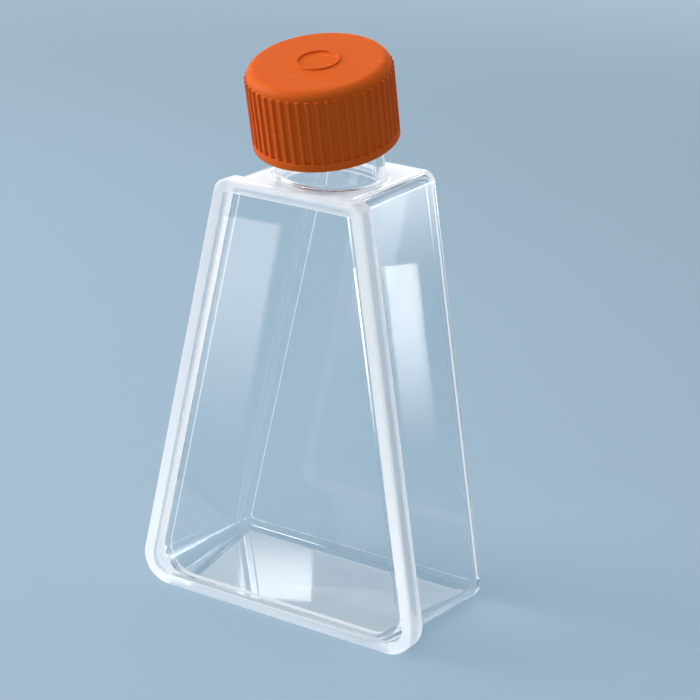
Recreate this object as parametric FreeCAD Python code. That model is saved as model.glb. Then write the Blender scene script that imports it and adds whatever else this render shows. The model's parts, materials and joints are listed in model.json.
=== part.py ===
import FreeCAD, Part
import math
import os

from FreeCAD import Vector

# Cell culture flask: a clear tapered body that stands on its wide end, with a canted neck and a screw cap.
#
# The body is two clear mouldings. The tray is the growth wall, the side walls, the base, the shoulder and
# the neck in one. The top plate closes the tray's open front, and the two are welded along a frame that
# stands out from the side walls. The cap carries a soft liner that it presses on the neck's lip.
#
# Frame: +Z up, the base in z = 0, the width along X, the top plate towards -Y and the growth wall towards
# +Y. The origin is the middle of the base. Lengths are in millimetres, angles in degrees.

# ------------------------------------------------------------------------------- driving dimensions
# Body, measured over the welded frame
body_height = 75.0
base_width = 56.5
shoulder_width = 27.5
body_depth = 28.2
frame_base_radius = 5.0
frame_shoulder_radius = 2.5

# Tray walls. The sides draw in and the base corners tighten towards the growth wall.
wall = 1.2
growth_wall = 1.2
frame_overhang = 1.6
side_draft = 0.4
front_corner_radius = 7.0
growth_corner_radius = 3.2
shoulder_corner_radius = 2.4
growth_edge_radius = 1.2
inner_edge_radius = 0.8
sharpest_corner = 0.3

# Welded frame: the tray's flange, and the top plate with its raised rim and locating tongue
flange_thickness = 1.2
plate_thickness = 1.2
rim_height = 0.9
rim_width = 2.0
rim_edge_radius = 0.4
tongue_height = 1.0
tongue_width = 0.8
tongue_clearance = 0.12

# Rim that holds the growth window off a table, with a narrow land between it and the wall's rounded edge
standoff_height = 0.5
standoff_width = 1.4
standoff_land = 0.3

# Neck, which leans towards the top plate. Its setback is from the weld to the front of its root.
neck_angle = 15.0
neck_setback = 1.8
neck_radius = 9.0
neck_wall = 1.2
neck_root_fillet = 0.8
lip_chamfer = 0.3

# Screw cap. Its mouth clears the shoulder by the mouth gap, and the thread room is all round the neck.
cap_height = 13.6
cap_wall = 1.35
cap_top_thickness = 1.5
cap_edge_chamfer = 0.9
cap_mouth_chamfer = 0.4
mouth_gap = 3.6
thread_room = 1.3
rib_count = 48
rib_depth = 0.35
rib_width = 0.75
rib_crest_width = 0.4
rib_lower_end = 1.3
rib_upper_gap = 1.6
ring_radius = 3.4
ring_width = 0.7
ring_crest_width = 0.35
ring_height = 0.3

# Liner
liner_thickness = 1.0
liner_clearance = 0.15

# -------------------------------------------------------------------- places that follow from them
front_face = -body_depth / 2
plate_face = front_face + rim_height
seam = plate_face + plate_thickness
flange_back = seam + flange_thickness
back_face = body_depth / 2
growth_face = back_face - standoff_height
growth_surface = growth_face - growth_wall

slant = math.atan2((base_width - shoulder_width) / 2, body_height)
lean = math.radians(neck_angle)

cap_bore_radius = neck_radius + thread_room
cap_core_radius = cap_bore_radius + cap_wall
cap_radius = cap_core_radius + rib_depth
cap_foot = mouth_gap / math.cos(lean) + cap_radius * math.tan(lean)

neck_axis = Vector(0, -math.sin(lean), math.cos(lean))
neck_root = Vector(0, seam + neck_setback + neck_radius / math.cos(lean), body_height)
neck_length = cap_foot + cap_height - cap_top_thickness - liner_thickness

# Cutting tools run past the faces that they open, and those for the tray's base corners run on further,
# because their ends stand square to a slanting edge.
through = 1.0
corner_run_on = 3.0

# A rounded edge lies in a plane if it keeps this near to it. Centres that match are exact.
in_plane = 0.01
exact = 1e-6

up = Vector(0, 0, 1)


def prism(front, back):
    """Solid with flat faces between two rings of corners."""
    faces = [Part.Face(Part.makePolygon(ring + ring[:1])) for ring in (front, back)]
    for i in range(len(front)):
        side = [front[i - 1], front[i], back[i], back[i - 1], front[i - 1]]
        faces.append(Part.Face(Part.makePolygon(side)))
    return Part.makeSolid(Part.makeShell(faces))


def revolve(profile):
    """Solid of revolution about Z from (radius, height) points."""
    points = [Vector(radius, 0, z) for radius, z in profile]
    face = Part.Face(Part.makePolygon(points + points[:1]))
    return face.revolve(Vector(0, 0, 0), up, 360)


def stand(solid, foot, axis):
    """Move a solid that was modelled along Z so that it stands on a foot point along another axis."""
    solid = solid.copy()
    solid.Placement = FreeCAD.Placement(foot, FreeCAD.Rotation(up, axis))
    return solid


def round_edge(solid, start, end, radius):
    """Round the edge between two corners, never more sharply than the sharpest corner."""
    edges = [edge for edge in solid.Edges if edge.CenterOfMass.isEqual((start + end) / 2, exact)]
    return solid.makeFillet(max(radius, sharpest_corner), edges)


def edges_at_depth(solid, y):
    """The edges that lie in the plane at depth y."""
    return [edge for edge in solid.Edges
            if abs(edge.BoundBox.YMin - y) + abs(edge.BoundBox.YMax - y) < in_plane]


def corners(y, side, inward):
    """Corners of the tapered outline at depth y, from the left end of the base round to the left shoulder.

    The sides stand in from the frame's outline by side, and the base and the shoulder by inward.
    """
    ring = []
    for hand, z in ((-1, inward), (1, inward), (1, body_height - inward), (-1, body_height - inward)):
        half = base_width / 2 - z * math.tan(slant) - side / math.cos(slant)
        ring.append(Vector(hand * half, y, z))
    return ring


def frame_form(y_front, y_back, inward):
    """Solid within the frame's outline, or within a line that stands in from it all round."""
    front = corners(y_front, inward, inward)
    back = corners(y_back, inward, inward)
    solid = prism(front, back)
    for i, radius in enumerate((frame_base_radius,) * 2 + (frame_shoulder_radius,) * 2):
        solid = round_edge(solid, front[i], back[i], radius - inward)
    return solid


def tray_share(y):
    """How far depth y lies from the seam towards the growth face, as a share of the way."""
    return (y - seam) / (growth_face - seam)


def tray_corners(y, inward):
    """Corners of the tray's walls at depth y, or of a line that stands in from them all round."""
    return corners(y, frame_overhang + side_draft * tray_share(y) + inward, inward)


def tray_form(y_front, y_back, inward):
    """Solid within the tray's walls, or within a surface that stands in from them all round."""
    front = tray_corners(y_front, inward)
    back = tray_corners(y_back, inward)
    solid = prism(front, back)
    for i in (2, 3):
        solid = round_edge(solid, front[i], back[i], shoulder_corner_radius - inward)
    cutter = base_corner_cutter(y_front - corner_run_on, y_back + corner_run_on, inward)
    return solid.cut([cutter, cutter.mirror(Vector(0, 0, 0), Vector(1, 0, 0))])


def base_corner_cutter(y_front, y_back, inward):
    """Tool that rounds the tray's right base edge, more and more sharply towards the growth face.

    A ball that rolls along the edge and shrinks evenly sweeps a cone. The tool is a wedge of the corner
    less that cone.
    """
    centres = []
    radii = []
    for y in (y_front, y_back):
        radius = front_corner_radius + (growth_corner_radius - front_corner_radius) * tray_share(y) - inward
        radii.append(max(radius, sharpest_corner))
        corner, shoulder = tray_corners(y, inward)[1:3]
        along = corner - tray_corners(y - through, inward)[1]
        side = (shoulder - corner).cross(along).normalize()
        centres.append(corner + (up + side) * (radii[-1] / (1 + up.dot(side))))
    axis = centres[1] - centres[0]
    swell = axis.Length / math.sqrt(axis.Length ** 2 - (radii[0] - radii[1]) ** 2)
    cone = revolve([(0, 0), (radii[0] * swell, 0), (radii[1] * swell, axis.Length), (0, axis.Length)])

    down = up * (-2 * front_corner_radius)
    out = side * (-2 * front_corner_radius)
    wedge = [centres[0], centres[0] + down, centres[0] + down + out, centres[0] + out, centres[0]]
    return Part.Face(Part.makePolygon(wedge)).extrude(axis).cut(stand(cone, centres[0], axis))


def height_on_neck(shape):
    """Height of a face's or an edge's middle above the shoulder, along the neck's axis."""
    return (shape.CenterOfMass - neck_root).dot(neck_axis)


def neck_bar(radius, start, end):
    """Round bar along the neck's axis between two heights above the shoulder."""
    return Part.makeCylinder(radius, end - start, neck_root + neck_axis * start, neck_axis)


def neck_root_edges(tray):
    """The edges where the neck's outside meets the shoulder, low on the neck."""
    root_zone = neck_length / 3
    necks = [face for face in tray.Faces if isinstance(face.Surface, Part.Cylinder)
             and abs(face.Surface.Radius - neck_radius) < exact]
    return [edge for face in necks for edge in face.Edges if height_on_neck(edge) < root_zone]


def make_tray():
    """Growth wall, side walls, base, shoulder and neck in one, with a flange round the open front."""
    outside = tray_form(seam, growth_face, 0)
    outside = outside.makeFillet(growth_edge_radius, edges_at_depth(outside, growth_face))
    flange = frame_form(seam, flange_back, 0)
    neck_start = -neck_radius * math.tan(lean) - wall
    neck = neck_bar(neck_radius, neck_start, neck_length)
    tray = outside.fuse([flange, neck]).removeSplitter()
    tray = tray.makeFillet(neck_root_fillet, neck_root_edges(tray))

    cavity = tray_form(seam - through, growth_surface, wall)
    cavity = cavity.makeFillet(inner_edge_radius, edges_at_depth(cavity, growth_surface))
    bore = neck_bar(neck_radius - neck_wall, neck_start - wall, neck_length + through)
    tray = tray.cut([cavity, bore])
    lip = [face for face in tray.Faces if abs(height_on_neck(face) - neck_length) < exact]
    tray = tray.makeChamfer(lip_chamfer, lip[0].Edges)

    in_wall = (growth_surface + growth_face) / 2
    setback = growth_edge_radius + standoff_land
    standoff = tray_form(in_wall, back_face, setback)
    standoff = standoff.cut(tray_form(in_wall - through, back_face + through, setback + standoff_width))
    return tray.fuse(standoff).removeSplitter()


def make_top_plate():
    """Flat front plate with a raised rim outside and a tongue inside that sits in the tray's opening."""
    plate = frame_form(front_face, seam, 0)
    plate = plate.makeFillet(rim_edge_radius, edges_at_depth(plate, front_face))
    plate = plate.cut(frame_form(front_face - through, plate_face, rim_width))
    in_plate = (plate_face + seam) / 2
    gap = wall + tongue_clearance
    tongue = tray_form(in_plate, seam + tongue_height, gap)
    tongue = tongue.cut(tray_form(in_plate - through, seam + tongue_height + through, gap + tongue_width))
    return plate.fuse(tongue).removeSplitter()


def ribbed_band():
    """The part of the skirt that is gripped: a profile with tapered ribs all round it, drawn upwards."""
    section = ((cap_core_radius, -rib_width / 2), (cap_radius, -rib_crest_width / 2),
               (cap_radius, rib_crest_width / 2), (cap_core_radius, rib_width / 2))
    ribs = []
    for i in range(rib_count):
        turn = 2 * math.pi * i / rib_count
        ribs.append([on_circle(radius, turn + across / radius, rib_lower_end) for radius, across in section])
    edges = []
    for i, rib in enumerate(ribs):
        valley = on_circle(cap_core_radius, 2 * math.pi * (i - 0.5) / rib_count, rib_lower_end)
        edges.append(Part.Arc(ribs[i - 1][-1], valley, rib[0]).toShape())
        edges += Part.makePolygon(rib).Edges
    return Part.Face(Part.Wire(edges)).extrude(up * (cap_height - rib_upper_gap - rib_lower_end))


def on_circle(radius, angle, z):
    """Point on a circle about Z."""
    return Vector(radius * math.cos(angle), radius * math.sin(angle), z)


def make_cap():
    """Short round cap: ribbed skirt, bevelled top edge and a plain raised ring on top."""
    crown = Part.makeCylinder(cap_core_radius, rib_upper_gap, up * (cap_height - rib_upper_gap))
    top_edge = [edge for edge in crown.Edges if abs(edge.CenterOfMass.z - cap_height) < exact]
    crown = crown.makeChamfer(cap_edge_chamfer, top_edge)
    foot = Part.makeCylinder(cap_radius, rib_lower_end)
    ring_foot = cap_height - ring_height
    ring_top = cap_height + ring_height
    ring = revolve([(ring_radius - ring_width / 2, ring_foot), (ring_radius + ring_width / 2, ring_foot),
                    (ring_radius + ring_crest_width / 2, ring_top),
                    (ring_radius - ring_crest_width / 2, ring_top)])
    cap = crown.fuse([foot, ribbed_band(), ring])

    bore_top = cap_height - cap_top_thickness
    mouth_radius = cap_bore_radius + cap_mouth_chamfer
    bore = revolve([(0, -through), (mouth_radius + through, -through), (cap_bore_radius, cap_mouth_chamfer),
                    (cap_bore_radius, bore_top), (0, bore_top)])
    return stand(cap.cut(bore), neck_root + neck_axis * cap_foot, neck_axis)


def make_liner():
    """Soft sealing disc under the cap's top, pressed on the neck's lip."""
    disc = Part.makeCylinder(cap_bore_radius - liner_clearance, liner_thickness)
    return stand(disc, neck_root + neck_axis * neck_length, neck_axis)


os.makedirs("parts", exist_ok=True)
make_tray().exportStep("parts/flask_tray.step")
make_top_plate().exportStep("parts/top_plate.step")
make_cap().exportStep("parts/screw_cap.step")
make_liner().exportStep("parts/cap_liner.step")
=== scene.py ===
import json
import math

import bmesh
import bpy
from mathutils import Matrix, Vector


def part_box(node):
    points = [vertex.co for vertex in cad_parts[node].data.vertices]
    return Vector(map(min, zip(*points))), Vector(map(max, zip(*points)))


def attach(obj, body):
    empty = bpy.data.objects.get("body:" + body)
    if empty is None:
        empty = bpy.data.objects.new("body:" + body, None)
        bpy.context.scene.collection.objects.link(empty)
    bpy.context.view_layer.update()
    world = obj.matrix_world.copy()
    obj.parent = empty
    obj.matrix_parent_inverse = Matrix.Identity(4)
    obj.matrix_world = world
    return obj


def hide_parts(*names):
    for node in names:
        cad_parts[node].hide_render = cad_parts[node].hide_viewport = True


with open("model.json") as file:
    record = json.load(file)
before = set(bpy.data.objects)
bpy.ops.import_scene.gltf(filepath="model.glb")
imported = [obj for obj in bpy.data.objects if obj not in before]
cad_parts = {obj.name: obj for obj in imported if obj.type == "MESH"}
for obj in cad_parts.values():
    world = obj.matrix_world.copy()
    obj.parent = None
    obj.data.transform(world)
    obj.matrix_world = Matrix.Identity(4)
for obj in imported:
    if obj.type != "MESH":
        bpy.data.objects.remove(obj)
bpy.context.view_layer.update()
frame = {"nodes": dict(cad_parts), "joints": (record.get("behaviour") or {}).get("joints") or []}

# ------------------------------------------------------------------------------------ welded body
# The tray and the top plate, two injection mouldings in clear crystal polystyrene, are welded along the
# frame. They are one piece here, so that light passes the weld as it does in the real plastic. The neck
# carries a right-handed thread, which is part of the tray's moulding.

body_height = 0.075
base_width = 0.0565
shoulder_width = 0.0275
side_lean = math.atan2((base_width - shoulder_width) / 2, body_height)
rim_reach = 0.0027
front_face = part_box("top_plate")[0][1]
plate_face = front_face + 0.0009
weld_line = front_face + 0.0021
weld_line_half_width = 0.00013
flange_back = front_face + 0.0033

neck_lean = math.radians(15.0)
neck_radius = 0.0090
thread_pitch = 0.0032
thread_height = 0.0008
thread_sunk = 0.0001
thread_start = -0.0070
neck_thread_width = 0.0016
neck_thread_turns = 1.75

cap_turn = next(joint for joint in frame["joints"] if joint["name"] == "cap_turn")
lip_centre = Vector(cap_turn["pos_m"])
neck_place = Matrix.Translation(lip_centre) @ Matrix.Rotation(neck_lean, 4, "X")

same_point = 2e-6
no_length = 1e-7
same_level = 1e-5


def joined_copy(node):
    """Copy of a CAD solid's mesh, with its loose triangles joined."""
    shape = bmesh.new()
    shape.from_mesh(frame["nodes"][node].data)
    bmesh.ops.remove_doubles(shape, verts=shape.verts, dist=same_point)
    bmesh.ops.dissolve_degenerate(shape, edges=shape.edges, dist=no_length)
    return shape


def make_flats_whole(shape, within_degrees):
    """Join neighbouring faces into one where they lie in nearly the same plane."""
    bmesh.ops.dissolve_limit(shape, angle_limit=math.radians(within_degrees), use_dissolve_boundaries=False,
                             verts=shape.verts, edges=shape.edges)


def finish_piece(name, shape, materials, sharp_above):
    """Piece from a mesh in work: smooth over its curves, with its creases above some degrees kept hard."""
    for edge in shape.edges:
        edge.smooth = len(edge.link_faces) == 2 and edge.calc_face_angle(0.0) < math.radians(sharp_above)
    for face in shape.faces:
        face.smooth = True
    mesh = bpy.data.meshes.new(name)
    shape.to_mesh(mesh)
    shape.free()
    for attribute in [a for a in mesh.attributes if a.name == "custom_normal"]:
        mesh.attributes.remove(attribute)
    for material in materials:
        mesh.materials.append(material)
    piece = bpy.data.objects.new(name, mesh)
    bpy.context.scene.collection.objects.link(piece)
    return piece


def keep_flats_flat(piece):
    """Let a piece's large faces set the shading, so that they stay flat beside their rounded edges."""
    weighted = piece.modifiers.new("flat_faces", "WEIGHTED_NORMAL")
    weighted.mode = "FACE_AREA"
    weighted.weight = 100
    weighted.keep_sharp = True


def thread_ridge(root_radius, crest_radius, width, start, turns):
    """Ridge of a right-handed thread about Z, run out to almost nothing at both ends."""
    steps_a_turn = 48
    run_out = math.radians(40)
    least_share = 0.02
    half_root = width / 2
    half_crest = width / 5
    shape = bmesh.new()
    section = [(root_radius, -half_root), (crest_radius, -half_crest), (crest_radius, half_crest),
               (root_radius, half_root)]
    ring = [shape.verts.new((radius, 0.0, start + z)) for radius, z in section]
    face = shape.faces.new(ring)
    bmesh.ops.spin(shape, geom=[face] + list(face.edges) + ring, cent=(0, 0, 0), axis=(0, 0, 1),
                   dvec=(0, 0, thread_pitch / steps_a_turn), angle=2 * math.pi * turns,
                   steps=round(steps_a_turn * turns), use_merge=False, use_duplicate=False)
    bmesh.ops.holes_fill(shape, edges=shape.edges)
    for vert in shape.verts:
        angle = math.atan2(vert.co.y, vert.co.x)
        climb = vert.co.z - start - angle * thread_pitch / (2 * math.pi)
        angle += 2 * math.pi * round(climb / thread_pitch)
        from_end = min(angle, 2 * math.pi * turns - angle)
        share = max(least_share, min(1.0, from_end / run_out))
        radius = math.hypot(vert.co.x, vert.co.y)
        scale = (root_radius + (radius - root_radius) * share) / radius
        vert.co.x *= scale
        vert.co.y *= scale
    bmesh.ops.recalc_face_normals(shape, faces=shape.faces)
    return shape


def put_in_order(mesh):
    """Sort a mesh's points, edges and faces by place, since a union leaves them in no fixed order."""
    shape = bmesh.new()
    shape.from_mesh(mesh)
    for place, vert in enumerate(sorted(shape.verts, key=lambda vert: tuple(vert.co))):
        vert.index = place
    shape.verts.sort()
    for parts in (shape.edges, shape.faces):
        ranked = sorted(parts, key=lambda part: sorted(vert.index for vert in part.verts))
        for place, part in enumerate(ranked):
            part.index = place
        parts.sort()
    shape.to_mesh(mesh)
    shape.free()


def weld(piece, shape, name):
    """Join another closed shape on to a piece, as one solid."""
    mesh = bpy.data.meshes.new(name)
    shape.to_mesh(mesh)
    shape.free()
    other = bpy.data.objects.new(name, mesh)
    bpy.context.scene.collection.objects.link(other)
    union = piece.modifiers.new("weld", "BOOLEAN")
    union.operation = "UNION"
    union.solver = "EXACT"
    union.object = other
    bpy.context.view_layer.update()
    welded = bpy.data.meshes.new_from_object(piece.evaluated_get(bpy.context.evaluated_depsgraph_get()))
    put_in_order(welded)
    piece.modifiers.remove(union)
    old = piece.data
    piece.data = welded
    bpy.data.meshes.remove(old)
    bpy.data.objects.remove(other)
    bpy.data.meshes.remove(mesh)


def shader_node(nodes, kind, values=None, **settings):
    """New shader node of a kind, with its settings and then the values of its inputs."""
    node = nodes.new("ShaderNode" + kind)
    for setting, choice in settings.items():
        setattr(node, setting, choice)
    for socket, value in (values or {}).items():
        node.inputs[socket].default_value = value
    return node


def blank_material(name):
    """New material, with its nodes, the call that links them, and its shader."""
    material = bpy.data.materials.new(name)
    material.use_nodes = True
    nodes = material.node_tree.nodes
    return material, nodes, material.node_tree.links.new, nodes["Principled BSDF"]


surface_detail = bpy.data.node_groups.new("moulded_surface", "ShaderNodeTree")
for name in ("Wave Scale", "Grain Scale", "Grain Share"):
    surface_detail.interface.new_socket(name, in_out="INPUT", socket_type="NodeSocketFloat")
for name in ("Height", "Scuff"):
    surface_detail.interface.new_socket(name, in_out="OUTPUT", socket_type="NodeSocketFloat")
nodes = surface_detail.nodes
link = surface_detail.links.new
group_in = nodes.new("NodeGroupInput")
group_out = nodes.new("NodeGroupOutput")
where = shader_node(nodes, "TexCoord")
wave = shader_node(nodes, "TexNoise", {"Detail": 1.0})
grain = shader_node(nodes, "TexNoise", {"Detail": 4.0, "Roughness": 0.6})
blend = shader_node(nodes, "Mix", data_type="FLOAT")
scratch_place = shader_node(nodes, "Mapping", {"Rotation": (0.4, 0.9, 0.3), "Scale": (1.0, 1.0, 14.0)})
scratch = shader_node(nodes, "TexNoise", {"Scale": 180.0, "Detail": 3.0})
scratch_lines = shader_node(nodes, "MapRange", {"From Min": 0.60, "From Max": 0.78})
link(where.outputs["Object"], wave.inputs["Vector"])
link(where.outputs["Object"], grain.inputs["Vector"])
link(where.outputs["Object"], scratch_place.inputs["Vector"])
link(scratch_place.outputs["Vector"], scratch.inputs["Vector"])
link(group_in.outputs["Wave Scale"], wave.inputs["Scale"])
link(group_in.outputs["Grain Scale"], grain.inputs["Scale"])
link(group_in.outputs["Grain Share"], blend.inputs["Factor"])
link(wave.outputs["Fac"], blend.inputs["A"])
link(grain.outputs["Fac"], blend.inputs["B"])
link(blend.outputs["Result"], group_out.inputs["Height"])
link(scratch.outputs["Fac"], scratch_lines.inputs["Value"])
link(scratch_lines.outputs["Result"], group_out.inputs["Scuff"])


def surface_node(nodes, wave_scale, grain_scale, grain_share):
    """The shared moulded surface, placed in a material with its own scales."""
    node = nodes.new("ShaderNodeGroup")
    node.node_tree = surface_detail
    node.inputs["Wave Scale"].default_value = wave_scale
    node.inputs["Grain Scale"].default_value = grain_scale
    node.inputs["Grain Share"].default_value = grain_share
    return node


def clear_polystyrene(name, transmission, haze, tint, shade, bounces, line_haze=0.0):
    """Crystal polystyrene, from water clear to lightly frosted; lamps shine on through it.

    haze is the roughness between and on the scuffs, shade what a grazing wall leaves of a lamp's light, and
    line_haze frosts the fine line along which the two mouldings are welded. A ray with more inner
    reflections than bounces meets a painted glow, an even white emission that stands in for the light which
    the plastic guides out at its edges.
    """
    material, nodes, link, shader = blank_material(name)
    shader.inputs["Base Color"].default_value = tint
    shader.inputs["IOR"].default_value = 1.59
    shader.inputs["Transmission Weight"].default_value = transmission

    detail = surface_node(nodes, wave_scale=42.0, grain_scale=900.0, grain_share=0.04)
    scuffed = shader_node(nodes, "MapRange", {"To Min": haze[0], "To Max": haze[1]})
    ripple = shader_node(nodes, "Bump", {"Strength": 0.07, "Distance": 0.0004})
    place = shader_node(nodes, "TexCoord")
    split = shader_node(nodes, "SeparateXYZ")
    line = shader_node(nodes, "Math", {1: weld_line, 2: weld_line_half_width}, operation="COMPARE")
    line_mark = shader_node(nodes, "Math", {1: line_haze}, operation="MULTIPLY_ADD")
    line_ridge = shader_node(nodes, "Math", {1: line_haze * 2}, operation="MULTIPLY_ADD")
    link(place.outputs["Object"], split.inputs["Vector"])
    link(split.outputs["Y"], line.inputs[0])
    link(line.outputs["Value"], line_mark.inputs[0])
    link(line.outputs["Value"], line_ridge.inputs[0])
    link(detail.outputs["Scuff"], scuffed.inputs["Value"])
    link(scuffed.outputs["Result"], line_mark.inputs[2])
    link(line_mark.outputs["Value"], shader.inputs["Roughness"])
    link(detail.outputs["Height"], line_ridge.inputs[2])
    link(line_ridge.outputs["Value"], ripple.inputs["Height"])
    link(ripple.outputs["Normal"], shader.inputs["Normal"])

    # Painted glow: past the given bounces a ray sees an even white emission in place of the plastic.
    ray = shader_node(nodes, "LightPath")
    deep = shader_node(nodes, "Math", {1: bounces + 0.5}, operation="GREATER_THAN")
    painted_glow = shader_node(nodes, "Emission", {"Color": (0.92, 0.96, 1.0, 1.0), "Strength": 0.9})
    plastic_or_painted_glow = shader_node(nodes, "MixShader")
    link(ray.outputs["Glossy Depth"], deep.inputs[0])
    link(deep.outputs["Value"], plastic_or_painted_glow.inputs["Fac"])
    link(shader.outputs["BSDF"], plastic_or_painted_glow.inputs[1])
    link(painted_glow.outputs["Emission"], plastic_or_painted_glow.inputs[2])

    let_light_by = shader_node(nodes, "BsdfTransparent")
    edge_shade = shader_node(nodes, "LayerWeight", {"Blend": 0.35})
    edge_tone = shader_node(nodes, "ValToRGB")
    edge_tone.color_ramp.elements[0].color = (0.96, 0.975, 0.985, 1.0)
    edge_tone.color_ramp.elements[0].position = 0.25
    edge_tone.color_ramp.elements[1].color = shade
    pick = shader_node(nodes, "MixShader")
    link(edge_shade.outputs["Facing"], edge_tone.inputs["Fac"])
    link(edge_tone.outputs["Color"], let_light_by.inputs["Color"])
    link(ray.outputs["Is Shadow Ray"], pick.inputs["Fac"])
    link(plastic_or_painted_glow.outputs["Shader"], pick.inputs[1])
    link(let_light_by.outputs["BSDF"], pick.inputs[2])
    link(pick.outputs["Shader"], nodes["Material Output"].inputs["Surface"])
    return material


clear_plastic = clear_polystyrene("crystal_polystyrene", transmission=1.0, haze=(0.012, 0.10),
                                  tint=(0.965, 0.982, 0.990, 1.0), shade=(0.35, 0.40, 0.44, 1.0), bounces=2)
# The frosted frame and shoulder show the painted white glow from their first inner reflection on.
welded_frame = clear_polystyrene("welded_polystyrene", transmission=0.66, haze=(0.32, 0.46),
                                 tint=(0.98, 0.985, 1.0, 1.0), shade=(0.92, 0.94, 0.96, 1.0), bounces=0,
                                 line_haze=0.25)

flask_body = finish_piece("flask_body", joined_copy("flask_tray"), [clear_plastic], sharp_above=32)
weld(flask_body, joined_copy("top_plate"), "top_plate_moulding")
ridge = thread_ridge(neck_radius - thread_sunk, neck_radius + thread_height, neck_thread_width, thread_start,
                     neck_thread_turns)
bmesh.ops.transform(ridge, matrix=neck_place, verts=ridge.verts)
weld(flask_body, ridge, "neck_thread")
shape = bmesh.new()
shape.from_mesh(flask_body.data)
bpy.data.objects.remove(flask_body)
bmesh.ops.remove_doubles(shape, verts=shape.verts, dist=same_point)
make_flats_whole(shape, within_degrees=0.1)


def outline_inset(point):
    """How far a point lies inside the flat front's outline."""
    half_width = base_width / 2 - point.z * math.tan(side_lean)
    return min(point.z, body_height - point.z, (half_width - abs(point.x)) * math.cos(side_lean))


def on_frame(face):
    """True on the rim and flange, which stand round the outside of the side walls."""
    depths = [vert.co.y for vert in face.verts]
    insets = [outline_inset(vert.co) for vert in face.verts]
    flat_at = {place: all(abs(depth - place) < same_level for depth in depths)
               for place in (front_face, plate_face, flange_back)}
    on_side = max(depths) < flange_back + same_level and max(insets) < rim_reach and not flat_at[plate_face]
    return min(insets) > -same_level and (flat_at[front_face] or flat_at[flange_back] or on_side)


def on_shoulder(face):
    """True on the flat shoulder, whose mould has a fine satin finish."""
    return all(abs(vert.co.z - body_height) < same_level for vert in face.verts)


bmesh.ops.bisect_plane(shape, geom=shape.verts[:] + shape.edges[:] + shape.faces[:], dist=same_level / 2,
                       plane_co=(0, flange_back, 0), plane_no=(0, 1, 0))
for face in shape.faces:
    face.material_index = int(on_frame(face) or on_shoulder(face))
flask_body = finish_piece("flask_body", shape, [clear_plastic, welded_frame], sharp_above=32)
keep_flats_flat(flask_body)
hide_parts("flask_tray", "top_plate")
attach(flask_body, "flask")

# --------------------------------------------------------------------------------------- screw cap
# The cap is moulded in opaque orange polypropylene, with fine upright ribs to grip and a satin finish.
# Inside it has the thread that runs on the neck's.

cap_plastic, nodes, link, shader = blank_material("orange_polypropylene")
shader.inputs["IOR"].default_value = 1.49
shader.inputs["Specular IOR Level"].default_value = 0.10
detail = surface_node(nodes, wave_scale=60.0, grain_scale=2600.0, grain_share=0.6)
tone = shader_node(nodes, "Mix", {"A": (0.75, 0.118, 0.008, 1.0), "B": (0.68, 0.102, 0.007, 1.0)},
                   data_type="RGBA")
wear = shader_node(nodes, "Mix", {"B": (0.82, 0.16, 0.03, 1.0)}, data_type="RGBA")
gloss = shader_node(nodes, "MapRange", {"To Min": 0.52, "To Max": 0.70})
texture = shader_node(nodes, "Bump", {"Strength": 0.25, "Distance": 0.0001})
link(detail.outputs["Height"], tone.inputs["Factor"])
link(tone.outputs["Result"], wear.inputs["A"])
link(detail.outputs["Scuff"], wear.inputs["Factor"])
link(wear.outputs["Result"], shader.inputs["Base Color"])
link(detail.outputs["Scuff"], gloss.inputs["Value"])
link(gloss.outputs["Result"], shader.inputs["Roughness"])
link(detail.outputs["Height"], texture.inputs["Height"])
link(texture.outputs["Normal"], shader.inputs["Normal"])

cap_top = 0.0025
crown_bevel = 0.0009
crown_round = 0.00050
crown_clearance = 0.0002
cap_core_radius = 0.01165
rib_round = 0.00006
same_ring = 2e-5


def outer_creases(shape, steeper_than):
    """The creases of the cap's outside, on its ribs and its foot but not on its crown or in its bore."""
    creases = []
    for edge in shape.edges:
        middle = (edge.verts[0].co + edge.verts[1].co) / 2
        outside = math.hypot(middle.x, middle.y) > cap_core_radius - same_ring
        below_crown = middle.z < cap_top - crown_bevel - crown_clearance
        if outside and below_crown and edge.calc_face_angle(0.0) > math.radians(steeper_than):
            creases.append(edge)
    return creases


def ring_edges(shape, radius, height):
    """The edges of one ring about the cap's axis."""
    on_ring = {vert for vert in shape.verts
               if abs(vert.co.z - height) < same_ring
               and abs(math.hypot(vert.co.x, vert.co.y) - radius) < same_ring}
    return [edge for edge in shape.edges if on_ring.issuperset(edge.verts)]


shape = joined_copy("screw_cap")
make_flats_whole(shape, within_degrees=1.2)
bmesh.ops.transform(shape, matrix=neck_place.inverted(), verts=shape.verts)
crown_rings = ring_edges(shape, cap_core_radius - crown_bevel, cap_top)
crown_rings += ring_edges(shape, cap_core_radius, cap_top - crown_bevel)
bmesh.ops.bevel(shape, geom=crown_rings, offset=crown_round, offset_type="OFFSET", segments=4, profile=0.5,
                affect="EDGES", material=-1, clamp_overlap=True)
bmesh.ops.bevel(shape, geom=outer_creases(shape, steeper_than=25), offset=rib_round, offset_type="OFFSET",
                segments=2, profile=0.5, affect="EDGES", material=-1, clamp_overlap=False)
bmesh.ops.transform(shape, matrix=neck_place, verts=shape.verts)
cap_shell = finish_piece("cap_shell", shape, [cap_plastic], sharp_above=50)
keep_flats_flat(cap_shell)
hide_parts("screw_cap")
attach(cap_shell, "cap")

cap_bore_radius = 0.0103
cap_thread_width = 0.0013
cap_thread_turns = 1.5
ridge = thread_ridge(cap_bore_radius + thread_sunk, cap_bore_radius - thread_height, cap_thread_width,
                     thread_start - thread_pitch / 2, cap_thread_turns)
bmesh.ops.transform(ridge, matrix=neck_place, verts=ridge.verts)
cap_thread = finish_piece("cap_thread", ridge, [cap_plastic], sharp_above=50)
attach(cap_thread, "cap")

# ------------------------------------------------------------------------------------------- liner
# A disc of white closed-cell foam, cut from sheet. It lies loose under the cap's top, and seals on the
# neck's lip once the cap is screwed down.

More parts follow.
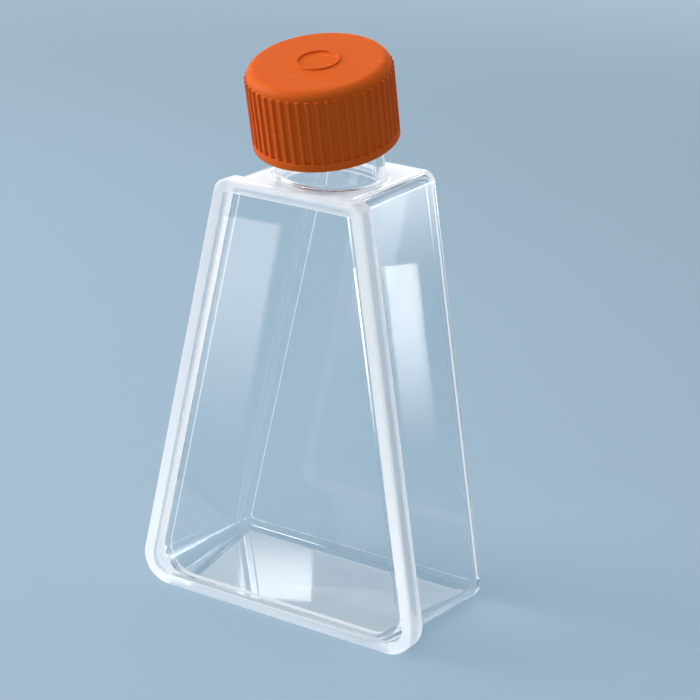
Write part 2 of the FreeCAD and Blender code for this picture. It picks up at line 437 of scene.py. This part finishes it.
foam, nodes, link, shader = blank_material("liner_foam")
shader.inputs["Roughness"].default_value = 0.85
detail = surface_node(nodes, wave_scale=300.0, grain_scale=3200.0, grain_share=0.7)
tone = shader_node(nodes, "Mix", {"A": (0.70, 0.70, 0.68, 1.0), "B": (0.86, 0.86, 0.84, 1.0)},
                   data_type="RGBA")
cells = shader_node(nodes, "Bump", {"Strength": 0.5, "Distance": 0.0001})
link(detail.outputs["Height"], tone.inputs["Factor"])
link(tone.outputs["Result"], shader.inputs["Base Color"])
link(detail.outputs["Height"], cells.inputs["Height"])
link(cells.outputs["Normal"], shader.inputs["Normal"])

shape = joined_copy("cap_liner")
make_flats_whole(shape, within_degrees=0.1)
liner_disc = finish_piece("liner_disc", shape, [foam], sharp_above=32)
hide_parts("cap_liner")
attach(liner_disc, "liner")

# ------------------------------------------------------------------------------------------- stage
# A plain pale floor that runs out into a pale backdrop, with soft light from above and the left and a low
# light on the front rim. Cards that show only in reflections stand for the panels of a studio, and the
# camera looks down on the flask from its front right.

floor_tint = (0.36, 0.48, 0.58, 1.0)
backdrop_tint = (0.74, 0.81, 0.87, 1.0)
floor_reach = 3.0


def smooth_ramp(nodes, low, high):
    """Node that climbs smoothly from 0 to 1 as its value goes from low to high."""
    return shader_node(nodes, "MapRange", {"From Min": low, "From Max": high},
                       interpolation_type="SMOOTHSTEP")


def background_ray(nodes, link):
    """1 for the rays that see the background: the camera's, and those that leave gloss or clear plastic."""
    ray = shader_node(nodes, "LightPath")
    near = shader_node(nodes, "Math", operation="MAXIMUM")
    seen = shader_node(nodes, "Math", operation="MAXIMUM")
    link(ray.outputs["Is Camera Ray"], near.inputs[0])
    link(ray.outputs["Is Transmission Ray"], near.inputs[1])
    link(near.outputs["Value"], seen.inputs[0])
    link(ray.outputs["Is Glossy Ray"], seen.inputs[1])
    return seen.outputs["Value"]


floor_paint, nodes, link, shader = blank_material("pale_floor")
shader.inputs["Base Color"].default_value = floor_tint
shader.inputs["Roughness"].default_value = 0.9
shader.inputs["Specular IOR Level"].default_value = 0.2
where = shader_node(nodes, "TexCoord")
distance = shader_node(nodes, "VectorMath", operation="LENGTH")
unlit = smooth_ramp(nodes, 0.25, 0.60)
share = shader_node(nodes, "Math", operation="MULTIPLY")
far = smooth_ramp(nodes, 0.40, 1.30)
sweep_tone = shader_node(nodes, "Mix", {"A": floor_tint, "B": backdrop_tint}, data_type="RGBA")
sweep = shader_node(nodes, "Emission")
run_up = shader_node(nodes, "MixShader")
link(where.outputs["Object"], distance.inputs[0])
link(distance.outputs["Value"], unlit.inputs["Value"])
link(distance.outputs["Value"], far.inputs["Value"])
link(far.outputs["Result"], sweep_tone.inputs["Factor"])
link(sweep_tone.outputs["Result"], sweep.inputs["Color"])
link(unlit.outputs["Result"], share.inputs[0])
link(background_ray(nodes, link), share.inputs[1])
link(share.outputs["Value"], run_up.inputs["Fac"])
link(shader.outputs["BSDF"], run_up.inputs[1])
link(sweep.outputs["Emission"], run_up.inputs[2])
link(run_up.outputs["Shader"], nodes["Material Output"].inputs["Surface"])

shape = bmesh.new()
bmesh.ops.create_grid(shape, x_segments=1, y_segments=1, size=floor_reach)
floor = finish_piece("floor", shape, [floor_paint], sharp_above=30)

world = bpy.data.worlds.new("studio")
bpy.context.scene.world = world
world.use_nodes = True
nodes = world.node_tree.nodes
link = world.node_tree.links.new
fill = nodes["Background"]
fill.inputs["Color"].default_value = (0.74, 0.80, 0.86, 1.0)
fill.inputs["Strength"].default_value = 0.55
backdrop = shader_node(nodes, "Background")
where = shader_node(nodes, "TexCoord")
split = shader_node(nodes, "SeparateXYZ")
height = smooth_ramp(nodes, 0.18, 0.42)
dusk = shader_node(nodes, "Mix", {"A": backdrop_tint, "B": (0.22, 0.28, 0.34, 1.0)}, data_type="RGBA")
pick = shader_node(nodes, "MixShader")
link(where.outputs["Generated"], split.inputs["Vector"])
link(split.outputs["Z"], height.inputs["Value"])
link(height.outputs["Result"], dusk.inputs["Factor"])
link(dusk.outputs["Result"], backdrop.inputs["Color"])
link(background_ray(nodes, link), pick.inputs["Fac"])
link(fill.outputs["Background"], pick.inputs[1])
link(backdrop.outputs["Background"], pick.inputs[2])
link(pick.outputs["Shader"], nodes["World Output"].inputs["Surface"])


def soft_box(name, place, aim, width, height, radiance):
    """Rectangular soft light that faces a point."""
    lamp = bpy.data.lights.new(name, "AREA")
    lamp.shape = "RECTANGLE"
    lamp.size = width
    lamp.size_y = height
    lamp.energy = radiance * width * height * math.pi
    light = bpy.data.objects.new(name, lamp)
    light.location = place
    light.rotation_euler = (Vector(aim) - Vector(place)).to_track_quat("-Z", "Y").to_euler()
    light.visible_camera = False
    light.visible_transmission = False
    bpy.context.scene.collection.objects.link(light)
    return light


def mirrored_card(name, place, aim, along, width, height, brightest):
    """Card that shows only in reflections, and fades to nothing towards its foot."""
    paint, nodes, link, shader = blank_material(name)
    nodes.remove(shader)
    where = shader_node(nodes, "TexCoord")
    split = shader_node(nodes, "SeparateXYZ")
    fade = smooth_ramp(nodes, 0.0, 0.85)
    ray = shader_node(nodes, "LightPath")
    reflected = shader_node(nodes, "Math", {1: 1.0}, operation="MINIMUM")
    share = shader_node(nodes, "Math", operation="MULTIPLY")
    unseen = shader_node(nodes, "BsdfTransparent")
    glow = shader_node(nodes, "Emission", {"Strength": brightest})
    card_mix = shader_node(nodes, "MixShader")
    link(where.outputs["UV"], split.inputs["Vector"])
    link(split.outputs["Y"], fade.inputs["Value"])
    link(ray.outputs["Glossy Depth"], reflected.inputs[0])
    link(fade.outputs["Result"], share.inputs[0])
    link(reflected.outputs["Value"], share.inputs[1])
    link(share.outputs["Value"], card_mix.inputs["Fac"])
    link(unseen.outputs["BSDF"], card_mix.inputs[1])
    link(glow.outputs["Emission"], card_mix.inputs[2])
    link(card_mix.outputs["Shader"], nodes["Material Output"].inputs["Surface"])

    facing = (Vector(aim) - Vector(place)).normalized()
    across = Vector(along).cross(facing).normalized()
    turned = Matrix((across, facing.cross(across), facing)).transposed().to_4x4()
    shape = bmesh.new()
    shape.loops.layers.uv.new("card")
    bmesh.ops.create_grid(shape, x_segments=1, y_segments=1, size=0.5, calc_uvs=True)
    bmesh.ops.scale(shape, vec=(width, height, 1.0), verts=shape.verts)
    bmesh.ops.transform(shape, matrix=Matrix.Translation(place) @ turned, verts=shape.verts)
    card = finish_piece(name, shape, [paint], sharp_above=30)
    card.visible_camera = False
    card.visible_diffuse = False
    card.visible_shadow = False


soft_box("top_light", place=(-0.12, -0.02, 0.75), aim=(0, 0, 0.04), width=0.60, height=0.60, radiance=1.8)
soft_box("left_light", place=(-0.86, -0.36, 0.38), aim=(0, 0, 0.06), width=0.62, height=0.62, radiance=7.2)
rim_light = soft_box("rim_light", place=(-0.002, -0.046, 0.004), aim=(-0.002, front_face, 0.004),
                     width=0.050, height=0.006, radiance=12.0)
rim_light.visible_glossy = False
lit_from_low = bpy.data.collections.new("lit_from_low")
lit_from_low.objects.link(flask_body)
rim_light.light_linking.receiver_collection = lit_from_low

left_slant = (math.sin(side_lean), 0.0, math.cos(side_lean))
right_slant = (-math.sin(side_lean), 0.0, math.cos(side_lean))
upright = (0.0, 0.0, 1.0)
mirrored_card("front_card", place=(-0.048, -0.068, 0.024), aim=(-0.008, -0.013, 0.047), along=left_slant,
              width=0.011, height=0.048, brightest=2.2)
mirrored_card("side_card", place=(0.0966, 0.1250, 0.0238), aim=(0.017, 0.0, 0.05), along=right_slant,
              width=0.0078, height=0.046, brightest=2.8)
mirrored_card("back_card", place=(-0.205, 0.307, 0.172), aim=(-0.008, 0.003, 0.001), along=upright,
              width=0.027, height=0.026, brightest=4.5)
mirrored_card("shoulder_card", place=(-0.083, 0.133, 0.125), aim=(0.0, 0.0, 0.075), along=upright,
              width=0.11, height=0.055, brightest=4.0)
mirrored_card("edge_card", place=(0.22, 0.33, 0.065), aim=(-0.02, 0.0, 0.01), along=upright,
              width=0.08, height=0.11, brightest=5.0)

azimuth = math.radians(30.78)
elevation = math.radians(19.67)
roll = math.radians(-2.52)
camera_aim = Vector((0.00458, 0.0, 0.04546))
camera_distance = 0.3618
away = Vector((math.sin(azimuth) * math.cos(elevation), -math.cos(azimuth) * math.cos(elevation),
               math.sin(elevation)))
level = Vector((math.cos(azimuth), math.sin(azimuth), 0.0))
rise = away.cross(level)
right = level * math.cos(roll) - rise * math.sin(roll)
up = level * math.sin(roll) + rise * math.cos(roll)
lens = bpy.data.cameras.new("camera")
lens.sensor_width = 36.0
lens.lens = 111.3
lens.clip_start = 0.01
camera = bpy.data.objects.new("camera", lens)
camera.matrix_world = (Matrix.Translation(camera_aim + away * camera_distance)
                       @ Matrix((right, up, away)).transposed().to_4x4())
bpy.context.scene.collection.objects.link(camera)
bpy.context.scene.camera = camera
bpy.context.scene.view_settings.view_transform = "Standard"
